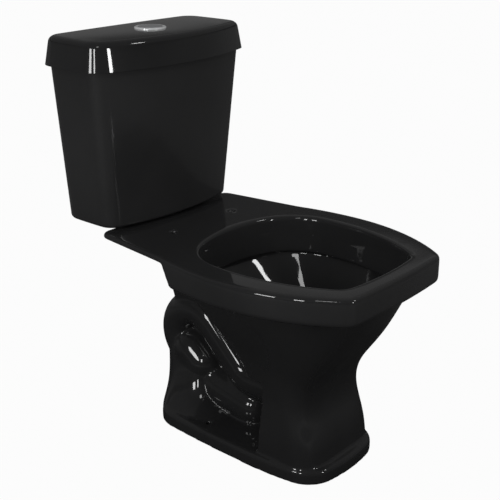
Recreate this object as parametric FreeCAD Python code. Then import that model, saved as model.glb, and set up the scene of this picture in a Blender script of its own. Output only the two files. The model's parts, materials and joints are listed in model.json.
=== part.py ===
"""Close coupled toilet: vitreous china bowl, tank and lid with a dual flush valve and a fill valve.

Units are millimetres. Z is up, the bowl points to -Y and X runs left to right. The origin is on the
floor, on the axis of the waste outlet and midway between the two floor bolt holes.
Each function below makes one piece, and the table at the end names the pieces.
"""
import FreeCAD
import Part

import math
import os
from FreeCAD import Vector

# ---------------------------------------------------------------- bowl casting
CHINA = 10.0                  # usual wall of the casting
RIM_TOP = 380.0               # height of the rim and of the deck
RIM_HALF = 203.0
RIM_WIDEST_Y = -125.0
RIM_FRONT = -348.0
RIM_SIDE_R = 350.0            # side arc ahead of the widest place
RIM_BACK_R = 520.0            # side arc behind it
RIM_FRONT_R = 1400.0
RIM_CORNER_R = 32.0
RIM_BAND = 47.0               # height of the outer band of the rim
RIM_TOP_ROUND = 6.0
RIM_LOW_ROUND = 7.0
RIM_PLATE = 10.0              # china over the flushing channel
RIM_BACK = 64.0               # where the rim ends inside the deck

MOUTH_HALF = 151.0
MOUTH_WIDEST_Y = -118.0
MOUTH_FRONT = -313.0
MOUTH_BACK = 15.0
MOUTH_SIDE_R = 345.0
MOUTH_FRONT_R = 570.0
MOUTH_BACK_R = 236.0
MOUTH_FRONT_CORNER_R = 30.0
MOUTH_BACK_CORNER_R = 100.0
MOUTH_ROUND = 5.0
LIP_DEPTH = 67.0              # how far the inner wall of the rim hangs down
LIP_WALL = 8.0
LIP_LEAN = 7.0                # how much that wall leans inwards

DECK_THICK = 10.0
DECK_HALF = 164.0             # half width at the back corners
DECK_FRONT_HALF = 188.0       # half width where the deck runs into the rim
DECK_FRONT = -5.0
DECK_BACK = 175.0
DECK_LOW_ROUND = 3.0
DECK_CORNER_R = 22.0
DECK_BLEND = 24.0             # length over which the rim band thins to the deck
DECK_BLEND_START = -24.0
TONGUE_HALF = 92.0            # narrow end of the deck, under the tank
TONGUE_BACK = 262.0
TONGUE_CORNER_R = 22.0
TONGUE_ROOT_R = 18.0

# height, front, back, half width and squareness of the outside of the bowl and pedestal
BOWL_SECTIONS = [(0.0, -256.0, -96.0, 99.0, 4.6),
                 (34.0, -246.0, -96.0, 97.5, 4.8),
                 (92.0, -230.0, -96.0, 97.0, 5.0),
                 (140.0, -222.0, -92.0, 97.5, 4.6),
                 (172.0, -232.0, -84.0, 104.0, 4.0),
                 (222.0, -266.0, -44.0, 122.0, 3.4),
                 (277.0, -300.0, 8.0, 152.0, 2.75),
                 (345.0, -333.0, 60.0, 185.0, 2.45),
                 (372.0, -341.0, 64.0, 191.0, 2.4)]
# the same for the inside of the bowl
BASIN_SECTIONS = [(79.0, -166.0, -120.0, 26.0, 2.1),
                  (100.0, -174.0, -116.0, 36.0, 2.2),
                  (150.0, -196.0, -110.0, 62.0, 2.5),
                  (200.0, -233.0, -80.0, 97.0, 2.8),
                  (250.0, -268.0, -36.0, 123.0, 2.7),
                  (300.0, -300.0, 12.0, 150.0, 2.5),
                  (370.0, -334.0, 42.0, 184.0, 2.5)]
NECK_FRONT = -30.0            # the neck carries the flush water from the tank to the rim
NECK_BACK = 258.0
NECK_TOP_HALF = 66.0
NECK_LOW_HALF = 20.0
NECK_LOW_Z = 203.0            # inside the crown of the trapway
NECK_FLOOR_Z = 315.0
NECK_HEEL_R = 18.0            # round end of its floor
NECK_ROUND = 12.0
NECK_THROAT_Y = 184.0         # its underside sweeps from here ...
NECK_THROAT_BOW = (146.0, 296.0)
NECK_THROAT_LOW = (138.0, 262.0)
NECK_LOW_BACK = 136.0         # ... down to here

SIDE_WALL_BACK = -131.0       # back edge of the pedestal's side walls, at the floor
SIDE_WALL_LEAN = 14.0         # how far that edge leans forward on its way up
RECESS_TOP = 166.0            # where the recess behind the side walls ends
WEB_HALF = 7.0                # half thickness of the wall between the legs of the trap
FOOT_HEIGHT = 26.0
FOOT_ROUND = 8.0
FOOT_WALL = 14.0              # china that stands on the floor, round the foot
FOOT_HOLLOW = 12.0            # depth of the space inside that edge
FOOT_HALF = 109.0
FOOT_WIDEST_Y = -130.0
FOOT_FRONT = -266.0
FOOT_BACK = 138.0
FOOT_FRONT_R = 330.0
FOOT_SIDE_R = 520.0
FOOT_TAIL_R = 2600.0
FOOT_BACK_R = 160.0
FOOT_FRONT_CORNER_R = 58.0
FOOT_BACK_CORNER_R = 60.0     # the same for the skirt that spreads from the back of the trap to the foot
SKIRT_SECTIONS = [(16.0, -40.0, 136.0, 94.0, 3.2),
                  (30.0, -5.0, 140.0, 82.0, 3.0),
                  (48.0, 22.0, 143.0, 66.0, 2.8),
                  (74.0, 38.0, 146.0, 52.0, 2.8),
                  (110.0, 54.0, 151.0, 42.0, 2.8),
                  (150.0, 70.0, 152.0, 26.0, 2.8)]

TRAP_OUTER = 35.0             # outside radius of the trapway
TRAP_BORE = 23.0              # radius of its waterway
TRAP_INLET_Z = 102.0          # height of the level leg that leaves the sump
TRAP_INLET_Y = -140.0
TRAP_INLET_BEND = 60.0
ARCH_Y = 89.0                 # centre of the bend over the weir
ARCH_Z = 155.0
ARCH_R = 50.0
RISE_ANGLE = 45.0             # the leg from the sump rises at this angle
SHOULDER_BACK = (100.0, 118.0)    # bulge where the leg to the outlet turns forwards
SHOULDER_FRONT = (76.0, 99.0)
SHOULDER_R = 44.0
OUTLET_BACK = (28.0, 62.0)    # ends of the centre line of the chamber over the outlet
OUTLET_FRONT = (-46.0, 48.0)
OUTLET_OUTER = 39.0
OUTLET_BORE = 28.0
HORN_BORE = 27.0              # waste outlet, down through the foot

SEAT_SPACING = 155.0
SEAT_HOLE_R = 6.5
SEAT_HOLE_Y = 78.0
FLOOR_SPACING = 152.0
FLOOR_HOLE_R = 4.5

# ---------------------------------------------------------------- tank and lid castings
TANK_GAP = 4.0                # between deck and tank
TANK_FLOOR_Z = RIM_TOP + TANK_GAP
TANK_HEIGHT = 290.0
TANK_WALL = 9.0
TANK_FLOOR = 12.0
TANK_FRONT = 134.0
TANK_BACK = 281.0
TANK_HALF = 156.0             # half width at the bottom
TANK_TOP_HALF = 183.0         # half width at the top
TANK_TOP_FRONT = 113.5
TANK_TOP_BACK = 282.0
TANK_FRONT_R = 520.0
TANK_SIDE_R = 900.0
TANK_BACK_R = 4000.0
TANK_CORNER_R = 19.0
TANK_LOW_ROUND = 8.0

LID_BOTTOM_Z = TANK_FLOOR_Z + 282.0
LID_HEIGHT = 49.0
LID_OVERHANG = 9.5
LID_LEAN = 9.0
LID_ROUND = 13.0
LID_WALL = 8.0
LID_FIT = 0.8                 # between the tank and the ledge round it

# ---------------------------------------------------------------- dual flush valve
VALVE_X = 0.0
VALVE_Y = 200.0
SPIGOT_R = 30.0
SPIGOT_BORE = 25.0
SPIGOT_DROP = 26.0            # how far it hangs below the tank
SPIGOT_FIT = 1.5              # round the spigot in the tank floor
WASHER_THICK = 3.0
FLANGE_R = 44.0
FLANGE_THICK = 5.0
SEAT_RING_R = 28.0
SEAT_RING_WALL = 2.0
SEAT_RING_HEIGHT = 4.0
LOCKNUT_R = 41.0
LOCKNUT_THICK = 11.0
SPUD_R = 48.0
SPUD_FIT = 0.4                # between locknut and gasket
SPUD_DEPTH = 20.0             # depth of its pocket in the deck
SPUD_POCKET_R = 49.0
INLET_R = 30.0
DUCT_HALF = 44.0
DUCT_HEIGHT = 22.0

CAGE_POST_AT = 35.0
CAGE_POST_R = 3.5
CAGE_RING_Z = 205.0           # heights above the tank floor's underside
CAGE_RING_OUTER = 41.0
CAGE_RING_INNER = 18.5
CAGE_RING_THICK = 4.0
TUBE_R = 13.0
TUBE_BORE = 11.0
TUBE_TOP = 241.0
TUBE_FOOT_THICK = 4.0
FLUSH_LIFT = 10.8             # how far a lever lifts its collar
SEAL_R = 31.0
SEAL_THICK = 3.0
TUBE_FOOT_R = 29.0
COLLAR_R = 24.0
COLLAR_THICK = 3.0
COLLAR_HALF = 16.0            # half width across the collar
COLLAR_SPLIT = 2.0            # from the valve's axis to the flat of each half collar
FLOAT_FIT = 0.8               # between float and overflow tube
HALF_FLOAT_R = 27.0
HALF_FLOAT_LOW = 120.0
HALF_FLOAT_HEIGHT = 52.0
HALF_FLOAT_ROUND = 4.0
NECK_R = 16.6
YOKE_HALF = 46.0
YOKE_INNER = 18.5             # half distance between the yoke's cheeks
YOKE_CHEEK = 2.5
YOKE_TOP = 284.0
YOKE_BRIDGE = 4.0
YOKE_WINDOW = 22.0
PIVOT_AT = 31.0               # lever pivots from the valve's axis
PIVOT_Z = 224.0
PIN_R = 1.5
PIN_FIT = 0.05
ROD_AT = 40.0                 # push rods from the valve's axis
ROD_R = 3.0
ROD_TIP_R = 1.5
LEVER_THICK = 3.0
LEVER_TIP_AT = 15.0
LEVER_HALF = 14.5             # half width over the fork's prongs
LEVER_PRONG = 4.0
TOUCH = 0.3                   # clearance between pieces that push each other
PAD_THICK = 4.0
PAD_HALF = 11.0

# ---------------------------------------------------------------- push buttons on the lid
BEZEL_R = 28.5
BEZEL_THICK = 3.0
BEZEL_SHANK_R = 24.5
BEZEL_BORE = 22.5
BEZEL_SHANK = 24.0
BEZEL_FLOOR = 2.5
LID_HOLE_FIT = 0.8
BUTTON_FIT = 0.3
BUTTON_THICK = 4.0
BUTTON_PROUD = 0.5
BUTTON_EDGE = 0.8
BUTTON_TRAVEL = 5.5
BUTTON_SPLIT = 4.0            # offset of the dividing line, so that one button is larger
STEM_AT = 12.0
STEM_R = 3.0
STEM_FIT = 0.1
SPRING_R = 5.2
SPRING_WIRE_R = 0.8
SPRING_TURNS = 4
BUTTON_NUT_R = 31.0
BUTTON_NUT_THICK = 7.0
THREAD_FIT = 0.15             # radial play between a nut and its thread

# ---------------------------------------------------------------- fill valve
FILL_X = 112.0
FILL_SHANK_R = 10.3
FILL_SHANK_BORE = 5.0
FILL_SHANK_DROP = 42.0
FILL_RELIEF_R = 9.5           # groove between the nut's thread and the hose's thread
FILL_RELIEF_LONG = 3.0
FILL_HOLE_FIT = 1.2
FILL_FLANGE_R = 16.0
FILL_FLANGE_THICK = 4.0
FILL_STEM_R = 9.0
FILL_HEAD_Z = 226.0
FILL_HEAD_R = 16.0
FILL_HEAD_HEIGHT = 43.0
FILL_CAP_HEIGHT = 10.0
FILL_STOP_R = 12.5
FILL_STOP_THICK = 4.0
FILL_NUT_R = 15.0             # half its width across flats
FILL_NUT_THICK = 9.0
CUP_LOW = 148.0
CUP_HEIGHT = 56.0
CUP_R = 25.0
CUP_FIT = 0.8
CUP_WALL = 2.0
CUP_ROD_AT = 20.5
CUP_ROD_R = 1.5
ARM_PIVOT_AT = -8.0
ARM_RISE = 4.5                # height of the lever's pivot over the cap
ARM_HALF = 4.0
ARM_THICK = 3.0
ARM_EAR = 2.5
ARM_PLAY = 0.4                # beside the lever, between the ears
NIPPLE_R = 2.4
NIPPLE_LENGTH = 10.0
HOSE_BORE = 2.5
HOSE_WALL = 1.1
CLIP_Z = 262.0                # height of the refill tube over the tank's underside
CLIP_Y = 6.4                  # its distance behind the valve's axis
CLIP_DROP = 6.0
CLIP_OUTLET_X = 3.0
CLIP_END_X = 60.0
CLIP_HALF = 6.0

# ---------------------------------------------------------------- tank bolts
BOLT_SPACING = 156.0
BOLT_Y = 205.0
BOLT_R = 4.0
BOLT_HOLE_FIT = 1.5
BOLT_HEAD_R = 8.0
BOLT_HEAD_THICK = 5.0
BOLT_SEAL_R = 11.0
BOLT_WASHER_R = 11.0
BOLT_WASHER_THICK = 1.5
BOLT_NUT_THICK = 7.0
BOLT_NUT_ACROSS = 14.0
BOLT_TAIL = 6.0

SAW = 1000.0                  # larger than the object, for cuts that run right through


# ---------------------------------------------------------------- drawing helpers
def v(x, y, z):
    return Vector(x, y, z)


def rod(radius, x, y, z0, z1):
    return Part.makeCylinder(radius, z1 - z0, v(x, y, z0))


def ring(outer, inner, x, y, z0, z1):
    return rod(outer, x, y, z0, z1).cut(rod(inner, x, y, z0 - 1, z1 + 1))


def box(x0, x1, y0, y1, z0, z1):
    return Part.makeBox(x1 - x0, y1 - y0, z1 - z0, v(x0, y0, z0))


def cross_rod(radius, x, z, y0, y1):
    return Part.makeCylinder(radius, y1 - y0, v(x, y0, z), v(0, 1, 0))


def joined(first, *others):
    shape = first
    for other in others:
        shape = shape.fuse(other)
    return only_solid(shape.removeSplitter())


def only_solid(shape):
    """The one solid in the result of a cut or a join."""
    solids = shape.Solids
    if len(solids) != 1:
        raise ValueError("expected one solid, got %d" % len(solids))
    return solids[0]


def mirrored(shape):
    """The same piece on the other side of the plane through the valve's axis."""
    return shape.mirror(v(VALVE_X, 0, 0), v(1, 0, 0))


def side_cut(profile, x0, x1):
    """Block with the given outline in the YZ plane, from x0 to x1."""
    corners = [v(x0, y, z) for y, z in profile]
    face = Part.Face(Part.makePolygon(corners + corners[:1]))
    return face.extrude(v(x1 - x0, 0, 0))


def circle_for(point, normal, radius, grow):
    """Centre and radius of a side arc that bulges along the normal and peaks at the point."""
    centre = (point[0] - normal[0] * radius, point[1] - normal[1] * radius)
    return centre, radius + grow


def corner_between(side, after, radius):
    """Arc tangent to two side circles from within: its centre and its two end points."""
    (ax, ay), ar = side
    (bx, by), br = after
    ra = ar - radius
    rb = br - radius
    dx = bx - ax
    dy = by - ay
    apart = math.hypot(dx, dy)
    along = (ra * ra - rb * rb + apart * apart) / (2 * apart)
    across = math.sqrt(ra * ra - along * along)
    cx = ax + (along * dx - across * dy) / apart
    cy = ay + (along * dy + across * dx) / apart
    first = (cx + (cx - ax) / ra * radius, cy + (cy - ay) / ra * radius)
    last = (cx + (cx - bx) / rb * radius, cy + (cy - by) / rb * radius)
    return (cx, cy), first, last


def arc_edge(centre, radius, start, end, z):
    """Counter-clockwise arc from start to end."""
    a0 = math.atan2(start[1] - centre[1], start[0] - centre[0])
    a1 = math.atan2(end[1] - centre[1], end[0] - centre[0])
    if a1 < a0:
        a1 += 2 * math.pi
    mid = (a0 + a1) / 2
    middle = (centre[0] + radius * math.cos(mid), centre[1] + radius * math.sin(mid))
    return Part.Arc(v(start[0], start[1], z), v(middle[0], middle[1], z),
                    v(end[0], end[1], z)).toShape()


def arc_outline(sides, z, grow=0.0):
    """Closed outline of side arcs joined by round corners.

    Each side is (peak point, outward normal, side radius, radius of the corner after it), in
    counter-clockwise order. A corner of None joins two sides at the peak point they share.
    """
    circles = [circle_for(point, normal, radius, grow) for point, normal, radius, _ in sides]
    count = len(sides)
    ends = []
    corners = []
    for i in range(count):
        radius = sides[i][3]
        if radius is None:
            point, normal = sides[i][0], sides[i][1]
            shared = (point[0] + normal[0] * grow, point[1] + normal[1] * grow)
            ends.append((shared, shared))
            corners.append(None)
        else:
            centre, first, last = corner_between(circles[i], circles[(i + 1) % count],
                                                 radius + grow)
            ends.append((first, last))
            corners.append((centre, radius + grow))
    edges = []
    for i in range(count):
        centre, radius = circles[i]
        edges.append(arc_edge(centre, radius, ends[i - 1][1], ends[i][0], z))
        if corners[i]:
            edges.append(arc_edge(corners[i][0], corners[i][1], ends[i][0], ends[i][1], z))
    return Part.Wire(edges)


def slab(wire, height):
    return Part.Face(wire).extrude(v(0, 0, height))


def squarish(z, front, back, half, power):
    """Smooth closed section that is rounder or squarer with its power."""
    middle = (front + back) / 2
    reach = (back - front) / 2
    count = 16
    points = []
    for i in range(count):
        turn = 2 * math.pi * i / count
        s = math.sin(turn)
        c = math.cos(turn)
        x = math.copysign(abs(s) ** (2 / power), s) * half
        y = math.copysign(abs(c) ** (2 / power), c) * reach + middle
        points.append(v(x, y, z))
    curve = Part.BSplineCurve()
    curve.interpolate(Points=points, PeriodicFlag=True)
    return Part.Wire([curve.toShape()])


def section_loft(sections, grow=0.0):
    """Body through squarish sections, each grown by the same amount."""
    wires = [squarish(z, front - grow, back + grow, half + grow, power)
             for z, front, back, half, power in sections]
    return Part.makeLoft(wires, True, False)


def vertical_edges(shape, places, reach):
    """Upright edges whose foot is within reach of one of the places."""
    found = []
    for edge in shape.Edges:
        a, b = edge.Vertexes[0].Point, edge.Vertexes[-1].Point
        if abs(a.x - b.x) + abs(a.y - b.y) < 0.01 and abs(a.z - b.z) > 1:
            if any(math.hypot(a.x - x, a.y - y) < reach for x, y in places):
                found.append(edge)
    return found


def level_edges(shape, z, keep=None):
    """Edges that lie at one height."""
    found = []
    for edge in shape.Edges:
        low, high = edge.BoundBox.ZMin, edge.BoundBox.ZMax
        if abs(low - z) < 0.01 and abs(high - z) < 0.01:
            if keep is None or keep(edge.CenterOfMass):
                found.append(edge)
    return found


# ---------------------------------------------------------------- bowl
def rim_sides():
    return [((RIM_HALF, RIM_WIDEST_Y), (1, 0), RIM_BACK_R, RIM_CORNER_R),
            ((0, RIM_BACK), (0, 1), RIM_HALF * 4, RIM_CORNER_R),
            ((-RIM_HALF, RIM_WIDEST_Y), (-1, 0), RIM_BACK_R, None),
            ((-RIM_HALF, RIM_WIDEST_Y), (-1, 0), RIM_SIDE_R, RIM_CORNER_R),
            ((0, RIM_FRONT), (0, -1), RIM_FRONT_R, RIM_CORNER_R),
            ((RIM_HALF, RIM_WIDEST_Y), (1, 0), RIM_SIDE_R, None)]


def mouth_sides():
    return [((MOUTH_HALF, MOUTH_WIDEST_Y), (1, 0), MOUTH_SIDE_R, MOUTH_BACK_CORNER_R),
            ((0, MOUTH_BACK), (0, 1), MOUTH_BACK_R, MOUTH_BACK_CORNER_R),
            ((-MOUTH_HALF, MOUTH_WIDEST_Y), (-1, 0), MOUTH_SIDE_R, MOUTH_FRONT_CORNER_R),
            ((0, MOUTH_FRONT), (0, -1), MOUTH_FRONT_R, MOUTH_FRONT_CORNER_R)]


def foot_sides():
    return [((FOOT_HALF, FOOT_WIDEST_Y), (1, 0), FOOT_TAIL_R, FOOT_BACK_CORNER_R),
            ((0, FOOT_BACK), (0, 1), FOOT_BACK_R, FOOT_BACK_CORNER_R),
            ((-FOOT_HALF, FOOT_WIDEST_Y), (-1, 0), FOOT_TAIL_R, None),
            ((-FOOT_HALF, FOOT_WIDEST_Y), (-1, 0), FOOT_SIDE_R, FOOT_FRONT_CORNER_R),
            ((0, FOOT_FRONT), (0, -1), FOOT_FRONT_R, FOOT_FRONT_CORNER_R),
            ((FOOT_HALF, FOOT_WIDEST_Y), (1, 0), FOOT_SIDE_R, None)]


def trap_points():
    """Places in the YZ plane that the centre line of the trapway runs through."""
    rise = math.radians(RISE_ANGLE)
    onto = (ARCH_Y - ARCH_R * math.sin(rise), ARCH_Z + ARCH_R * math.cos(rise))
    corner = onto[0] - (onto[1] - TRAP_INLET_Z) / math.tan(rise)
    back_off = TRAP_INLET_BEND * math.tan(rise / 2)
    level_end = (corner - back_off, TRAP_INLET_Z)
    half_bend = (level_end[0] + TRAP_INLET_BEND * math.sin(rise / 2),
                 TRAP_INLET_Z + TRAP_INLET_BEND * (1 - math.cos(rise / 2)))
    rise_start = (corner + back_off * math.cos(rise), TRAP_INLET_Z + back_off * math.sin(rise))
    across = ARCH_Y - OUTLET_BACK[0]
    up = ARCH_Z - OUTLET_BACK[1]
    fall = math.atan2(up, across) - math.asin(ARCH_R / math.hypot(across, up))
    off = (ARCH_Y + ARCH_R * math.sin(fall), ARCH_Z - ARCH_R * math.cos(fall))
    return [(TRAP_INLET_Y, TRAP_INLET_Z), level_end, half_bend, rise_start, onto,
            (ARCH_Y + ARCH_R, ARCH_Z), off, OUTLET_BACK]


def trap_tube(radius):
    """Tube of the trapway, from the sump over the weir to the chamber over the outlet."""
    p = [v(0, y, z) for y, z in trap_points()]
    path = Part.Wire([Part.LineSegment(p[0], p[1]).toShape(),
                      Part.Arc(p[1], p[2], p[3]).toShape(),
                      Part.LineSegment(p[3], p[4]).toShape(),
                      Part.Arc(p[4], p[5], p[6]).toShape(),
                      Part.LineSegment(p[6], p[7]).toShape()])
    mouth = Part.Wire([Part.makeCircle(radius, p[0], v(0, 1, 0))])
    return path.makePipeShell([mouth], True, False)


def capsule(radius, start, end):
    """Round ended bar between two places in the YZ plane."""
    a, b = v(0, start[0], start[1]), v(0, end[0], end[1])
    bar = Part.makeCylinder(radius, a.distanceToPoint(b), a, b - a)
    return joined(bar, Part.makeSphere(radius, a), Part.makeSphere(radius, b))


def deck():
    """Flat plate behind the rim, with a narrower tongue under the tank."""
    under = RIM_TOP - DECK_THICK
    flank = [v(DECK_FRONT_HALF, DECK_FRONT, under), v(DECK_HALF, DECK_BACK, under),
             v(-DECK_HALF, DECK_BACK, under), v(-DECK_FRONT_HALF, DECK_FRONT, under)]
    plate = joined(slab(Part.makePolygon(flank + flank[:1]), DECK_THICK),
                   box(-TONGUE_HALF, TONGUE_HALF, DECK_FRONT, TONGUE_BACK, under, RIM_TOP))
    for half, back, radius in ((DECK_HALF, DECK_BACK, DECK_CORNER_R),
                               (TONGUE_HALF, TONGUE_BACK, TONGUE_CORNER_R),
                               (TONGUE_HALF, DECK_BACK, TONGUE_ROOT_R)):
        corners = vertical_edges(plate, [(half, back), (-half, back)], 1)
        plate = plate.makeFillet(radius, corners)
    behind = level_edges(plate, under, lambda point: point.y > DECK_FRONT + 1)
    return plate.makeFillet(DECK_LOW_ROUND, behind)


def rim_and_deck():
    """Thick rim round the bowl, thinning to the flat deck, with the rounded mouth cut out."""
    low = RIM_TOP - RIM_BAND
    under = RIM_TOP - DECK_THICK
    rim = slab(arc_outline(rim_sides(), low), RIM_BAND)
    rim = rim.makeFillet(RIM_LOW_ROUND, level_edges(rim, low))
    thinned = [(DECK_BLEND_START, low - 1), (DECK_BLEND_START + DECK_BLEND, under),
               (RIM_BACK + 1, under), (RIM_BACK + 1, low - 1)]
    plate = joined(rim.cut(side_cut(thinned, -SAW, SAW)), deck())
    plate = plate.makeFillet(RIM_TOP_ROUND, level_edges(plate, RIM_TOP))
    plate = only_solid(plate.cut(mouth_cut()))
    return plate.makeFillet(MOUTH_ROUND, level_edges(plate, RIM_TOP, in_mouth))


def neck():
    """Flush channel under the deck: a side profile narrowed towards the trapway below it."""
    heel = NECK_HEEL_R * (1 - math.sqrt(0.5))
    top_z = RIM_TOP - RIM_PLATE
    outline = [(NECK_FRONT, NECK_LOW_Z), (NECK_FRONT, top_z), (NECK_BACK, top_z),
               (NECK_BACK, NECK_FLOOR_Z + NECK_HEEL_R), (NECK_BACK - heel, NECK_FLOOR_Z + heel),
               (NECK_BACK - NECK_HEEL_R, NECK_FLOOR_Z), (NECK_THROAT_Y, NECK_FLOOR_Z),
               NECK_THROAT_BOW, NECK_THROAT_LOW, (NECK_LOW_BACK, NECK_LOW_Z)]
    p = [v(-NECK_TOP_HALF, y, z) for y, z in outline]
    edges = [Part.LineSegment(p[0], p[1]).toShape(), Part.LineSegment(p[1], p[2]).toShape(),
             Part.LineSegment(p[2], p[3]).toShape(), Part.Arc(p[3], p[4], p[5]).toShape(),
             Part.LineSegment(p[5], p[6]).toShape(), Part.Arc(p[6], p[7], p[8]).toShape(),
             Part.LineSegment(p[8], p[9]).toShape(), Part.LineSegment(p[9], p[0]).toShape()]
    block = Part.Face(Part.Wire(edges)).extrude(v(2 * NECK_TOP_HALF, 0, 0))
    front = NECK_FRONT - 1
    taper = [v(-NECK_LOW_HALF, front, NECK_LOW_Z - 1), v(NECK_LOW_HALF, front, NECK_LOW_Z - 1),
             v(NECK_TOP_HALF, front, top_z + 1), v(-NECK_TOP_HALF, front, top_z + 1)]
    wedge = Part.Face(Part.makePolygon(taper + taper[:1])).extrude(v(0, SAW, 0))
    block = only_solid(block.common(wedge))
    back_edges = [edge for edge in block.Edges
                  if edge.BoundBox.YMin > NECK_LOW_BACK - 1 and abs(edge.CenterOfMass.x) > 1]
    return block.makeFillet(NECK_ROUND, back_edges)


def recess(side):
    """Space behind one side wall of the pedestal, where the trapway shows."""
    profile = [(SIDE_WALL_BACK, -1), (SIDE_WALL_BACK - SIDE_WALL_LEAN, RECESS_TOP),
               (RIM_BACK, RECESS_TOP), (RIM_BACK, -1)]
    return side_cut(profile, side * WEB_HALF, side * SAW)


def trap_web():
    """Wall that fills the loop between the legs of the trapway, down to the foot."""
    loop = trap_points()
    heel = (SKIRT_SECTIONS[0][2] - TRAP_OUTER, FOOT_HEIGHT / 2)
    profile = [(TRAP_INLET_Y, FOOT_HEIGHT / 2), loop[0], loop[1], loop[3], loop[4],
               (ARCH_Y, ARCH_Z + ARCH_R), loop[5], loop[6], heel]
    return side_cut(profile, -WEB_HALF, WEB_HALF)


def foot():
    plate = slab(arc_outline(foot_sides(), 0), FOOT_HEIGHT)
    return plate.makeFillet(FOOT_ROUND, level_edges(plate, FOOT_HEIGHT))


def basin_cut():
    """Space inside the bowl below the rim plate, with the hanging lip of the rim left standing."""
    basin = section_loft(BASIN_SECTIONS)
    lip_z = RIM_TOP - LIP_DEPTH
    top = arc_outline(mouth_sides(), RIM_TOP, LIP_WALL)
    bottom = arc_outline(mouth_sides(), lip_z, LIP_WALL - LIP_LEAN)
    lip = Part.makeLoft([top, bottom], True, True)
    return basin.cut(lip)


def mouth_cut():
    """Opening of the rim, narrower at the lip, down into the basin."""
    lip_z = RIM_TOP - LIP_DEPTH
    top = arc_outline(mouth_sides(), RIM_TOP)
    bottom = arc_outline(mouth_sides(), lip_z, -LIP_LEAN)
    return Part.makeLoft([top, bottom], True, True)


def flush_way():
    """Pocket for the gasket, drop from the tank and level duct to the rim."""
    pocket_z = RIM_TOP - SPUD_DEPTH
    duct_z = pocket_z - CHINA - DUCT_HEIGHT
    pocket = rod(SPUD_POCKET_R, VALVE_X, VALVE_Y, pocket_z, RIM_TOP + 1)
    drop = rod(INLET_R, VALVE_X, VALVE_Y, duct_z + 1, pocket_z + 1)
    duct = box(-DUCT_HALF, DUCT_HALF, MOUTH_BACK + LIP_WALL + 4, VALVE_Y, duct_z,
               duct_z + DUCT_HEIGHT)
    turn = rod(DUCT_HALF, VALVE_X, VALVE_Y, duct_z, duct_z + DUCT_HEIGHT)
    turn = turn.common(box(-DUCT_HALF, DUCT_HALF, VALVE_Y - 1, VALVE_Y + INLET_R,
                           duct_z, duct_z + DUCT_HEIGHT))
    return joined(pocket, drop, duct, turn)


def pedestal_hollow():
    """Space inside the pedestal, open at the floor."""
    inside = section_loft(BOWL_SECTIONS[:5], -CHINA)
    back = SIDE_WALL_BACK - SIDE_WALL_LEAN - CHINA
    return only_solid(inside.cut(box(-SAW, SAW, back, SAW, -1, SAW)))


def foot_hollow():
    """Shallow space under the foot, round the outlet's boss and those of the floor bolts."""
    space = slab(arc_outline(foot_sides(), -1, -FOOT_WALL), FOOT_HOLLOW + 1)
    for x, radius in ((0, HORN_BORE), (-FLOOR_SPACING / 2, FLOOR_HOLE_R),
                      (FLOOR_SPACING / 2, FLOOR_HOLE_R)):
        space = space.cut(rod(radius + CHINA, x, 0, -2, FOOT_HOLLOW + 1))
    return only_solid(space)


def sump():
    """Outside of the lowest part of the bowl, one wall thickness round its inside."""
    lowest = BASIN_SECTIONS[0]
    under = (lowest[0] - CHINA,) + lowest[1:]
    return section_loft([under] + BASIN_SECTIONS[:4], CHINA)


def bowl():
    """One casting: rim, deck, bowl, neck, pedestal, exposed trapway and foot."""
    body = section_loft(BOWL_SECTIONS)
    body = body.cut(recess(1)).cut(recess(-1)).fuse(section_loft(SKIRT_SECTIONS)).fuse(foot())
    body = body.cut(pedestal_hollow())
    for piece in (neck(), trap_web(), sump(), trap_tube(TRAP_OUTER),
                  capsule(SHOULDER_R, SHOULDER_BACK, SHOULDER_FRONT),
                  capsule(OUTLET_OUTER, OUTLET_BACK, OUTLET_FRONT), rim_and_deck()):
        body = body.fuse(piece)
    horn = rod(HORN_BORE, 0, 0, -1, (OUTLET_BACK[1] + OUTLET_FRONT[1]) / 2)
    cuts = [basin_cut(), mouth_cut(), trap_tube(TRAP_BORE), foot_hollow(),
            capsule(OUTLET_BORE, OUTLET_BACK, OUTLET_FRONT), horn, flush_way()]
    for side in (-1, 1):
        seat_x = side * SEAT_SPACING / 2
        cuts.append(rod(SEAT_HOLE_R, seat_x, SEAT_HOLE_Y, RIM_TOP - DECK_THICK - 1, RIM_TOP + 1))
        cuts.append(rod(FLOOR_HOLE_R, side * FLOOR_SPACING / 2, 0, -1, FOOT_HEIGHT * 2))
        bolt_x = side * BOLT_SPACING / 2
        bolt_low = RIM_TOP - DECK_THICK - 1
        cuts.append(rod(BOLT_R + BOLT_HOLE_FIT, bolt_x, BOLT_Y, bolt_low, RIM_TOP + 1))
    for space in cuts:
        body = body.cut(space)
    return only_solid(body)


def in_mouth(point):
    return abs(point.x) <= MOUTH_HALF and MOUTH_FRONT <= point.y <= MOUTH_BACK


# ---------------------------------------------------------------- tank and lid
def tank_sides(half, front, back):
    middle = (front + back) / 2
    return [((half, middle), (1, 0), TANK_SIDE_R, TANK_CORNER_R),
            ((0, back), (0, 1), TANK_BACK_R, TANK_CORNER_R),
            ((-half, middle), (-1, 0), TANK_SIDE_R, TANK_CORNER_R),
            ((0, front), (0, -1), TANK_FRONT_R, TANK_CORNER_R)]


def tank_outline(z, grow=0.0):
    """The tank's outside at a height: it widens steadily from floor to top."""
    share = (z - TANK_FLOOR_Z) / TANK_HEIGHT
    half = TANK_HALF + (TANK_TOP_HALF - TANK_HALF) * share
    front = TANK_FRONT + (TANK_TOP_FRONT - TANK_FRONT) * share
    back = TANK_BACK + (TANK_TOP_BACK - TANK_BACK) * share
    return arc_outline(tank_sides(half, front, back), z, grow)


def tank_block(low, high, grow=0.0):
    return Part.makeLoft([tank_outline(low, grow), tank_outline(high, grow)], True, True)


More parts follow.
